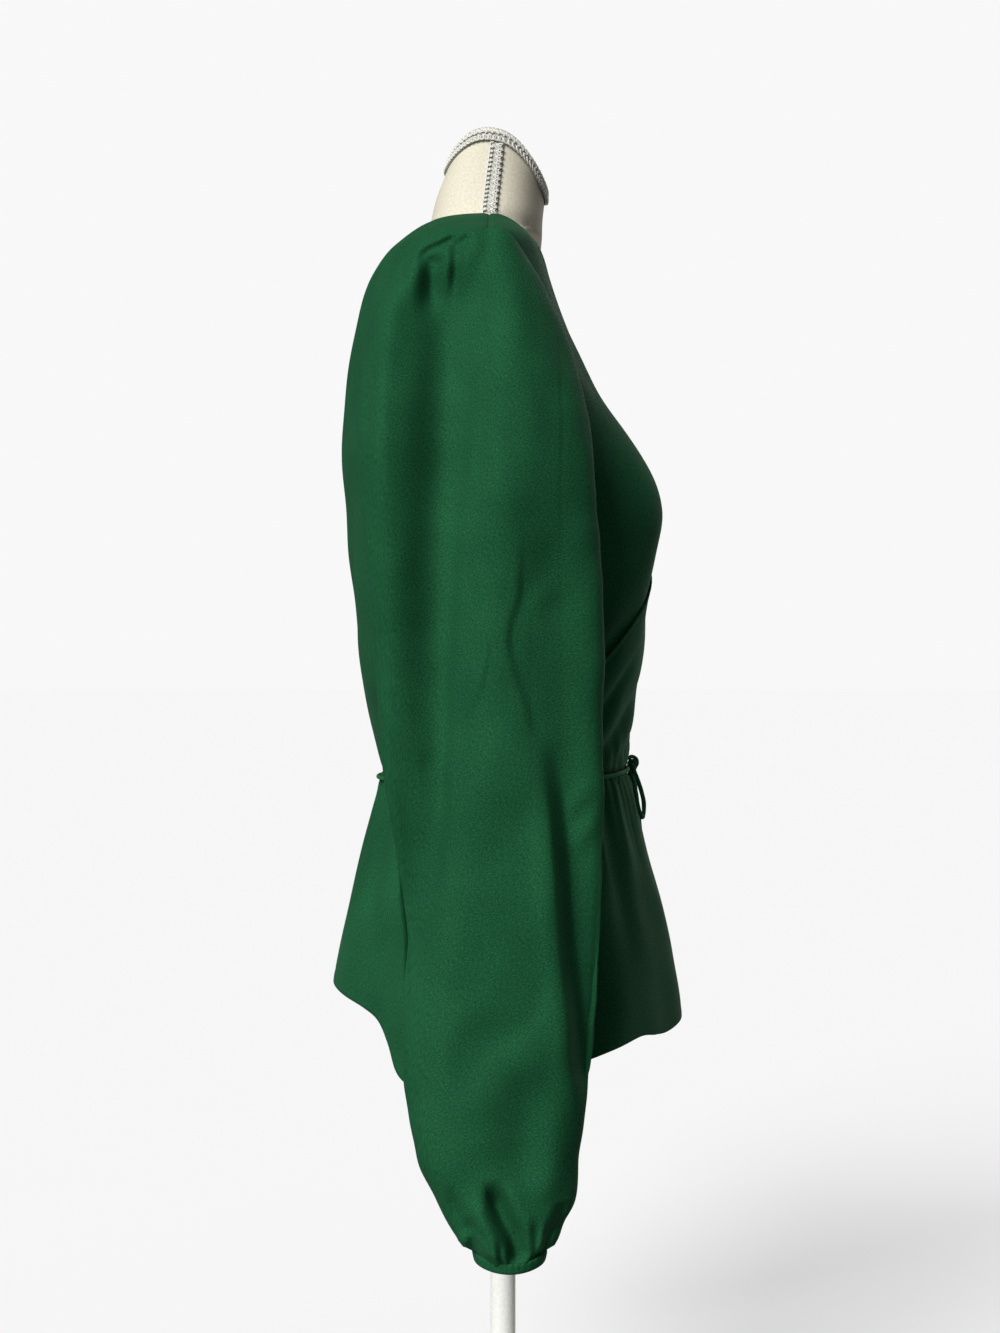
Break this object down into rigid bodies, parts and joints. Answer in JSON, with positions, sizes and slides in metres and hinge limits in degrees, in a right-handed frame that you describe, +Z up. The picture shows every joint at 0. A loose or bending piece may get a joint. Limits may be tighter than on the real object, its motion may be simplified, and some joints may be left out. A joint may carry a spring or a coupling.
{
  "type": "wrap top on a dress form",
  "caption": "Hip-length wrap top with a fluted peplum, balloon sleeves gathered into narrow cuffs and a thin tie at the waist, standing on a limbless dress form.",
  "frame": {"origin": "centre of the underside of the stand's base, on the floor", "axes": "+Z up, the wearer faces -Y and the wearer's left side is +X"},
  "size_m": [0.4756, 0.26, 0.9409],
  "materials": {
    "crepe": "matte emerald-green crepe with a fine pebbly grain",
    "rouleau": "the same crepe, turned into a thin round tie",
    "linen": "cream linen stretched over a hard form",
    "braid": "silvery white gimp braid",
    "painted_steel": "satin white paint"
  },
  "bodies": {
    "root": {"bodice_back": "crepe", "bodice_front_right": "crepe", "bodice_front_left": "crepe", "peplum_back": "crepe", "peplum_front_right": "crepe", "peplum_front_left": "crepe", "sleeve_right": "crepe", "sleeve_left": "crepe", "cuff_right": "crepe", "cuff_left": "crepe", "tie_waist_cord": "rouleau", "tie_knot": "rouleau", "tie_loop_right": "rouleau", "tie_loop_left": "rouleau", "tie_tail_right": "rouleau", "tie_tail_left": "rouleau", "tie_end_knot_right": "rouleau", "tie_end_knot_left": "rouleau", "dress_form": "linen", "neck_rim_braid": "braid", "neck_side_braid_right": "braid", "neck_side_braid_left": "braid", "stand_base": "painted_steel", "stand_pole": "painted_steel", "stand_collar": "painted_steel"}
  },
  "joints": []
}
